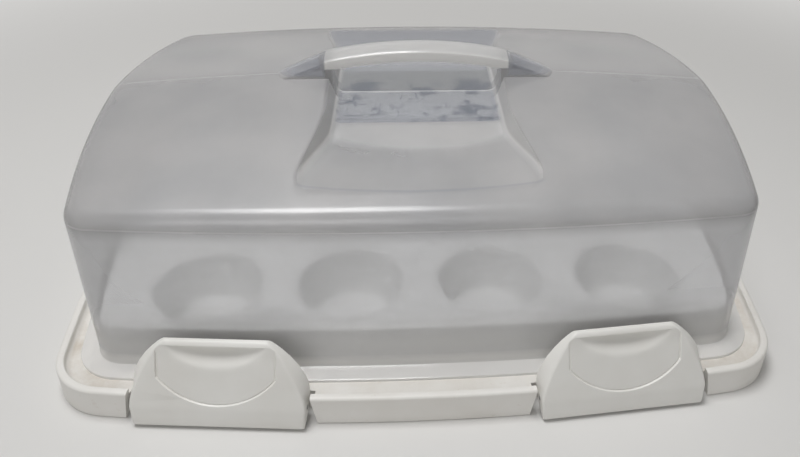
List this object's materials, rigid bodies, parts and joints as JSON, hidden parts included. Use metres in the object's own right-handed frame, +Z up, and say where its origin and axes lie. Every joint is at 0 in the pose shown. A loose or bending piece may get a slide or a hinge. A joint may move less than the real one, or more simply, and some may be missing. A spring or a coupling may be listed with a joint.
{
  "type": "cake carrier",
  "caption": "Cake carrier: bowed white tray, insert with cup wells, domed translucent lid with arched handle, swing latches in front and clip hinges behind.",
  "frame": {"origin": "centre of the tray's flat underside", "axes": "+X to the right along the length, +Y to the back where the hinges are, +Z up"},
  "size_m": [0.4572, 0.3585, 0.165],
  "materials": {
    "tray_plastic": "moulded white polypropylene, satin",
    "latch_plastic": "moulded white polypropylene, satin",
    "insert_plastic": "moulded white polypropylene, satin",
    "lid_plastic": "frosted translucent polypropylene with a polished handle area",
    "pin_steel": "drawn steel wire"
  },
  "bodies": {
    "base": {"base_tray": "tray_plastic", "latch_pin_left": "pin_steel", "latch_pin_right": "pin_steel", "hinge_pin_left": "pin_steel", "hinge_pin_right": "pin_steel"},
    "lid": {"lid": "lid_plastic", "hinge_clip_left": "latch_plastic", "hinge_clip_right": "latch_plastic"},
    "cupcake_tray": {"cupcake_tray": "insert_plastic"},
    "latch_left": {"latch_left": "latch_plastic"},
    "latch_right": {"latch_right": "latch_plastic"}
  },
  "joints": [
    {"name": "lid_hinge", "type": "hinge", "parent": "base", "child": "lid", "pos_m": [0, 0.17049, 0.0125], "axis": [-1, 0, 0], "range_deg": [0, 100]},
    {"name": "latch_left_hinge", "type": "hinge", "parent": "base", "child": "latch_left", "pos_m": [-0.11728, -0.16942, 0.0125], "axis": [0.9963, -0.0863, 0], "range_deg": [0, 75]},
    {"name": "latch_right_hinge", "type": "hinge", "parent": "base", "child": "latch_right", "pos_m": [0.11728, -0.16942, 0.0125], "axis": [0.9963, 0.0863, 0], "range_deg": [0, 75]},
    {"name": "cupcake_tray_lift", "type": "slide", "parent": "base", "child": "cupcake_tray", "axis": [0, 0, 1], "range_m": [0, 0.05]}
  ]
}
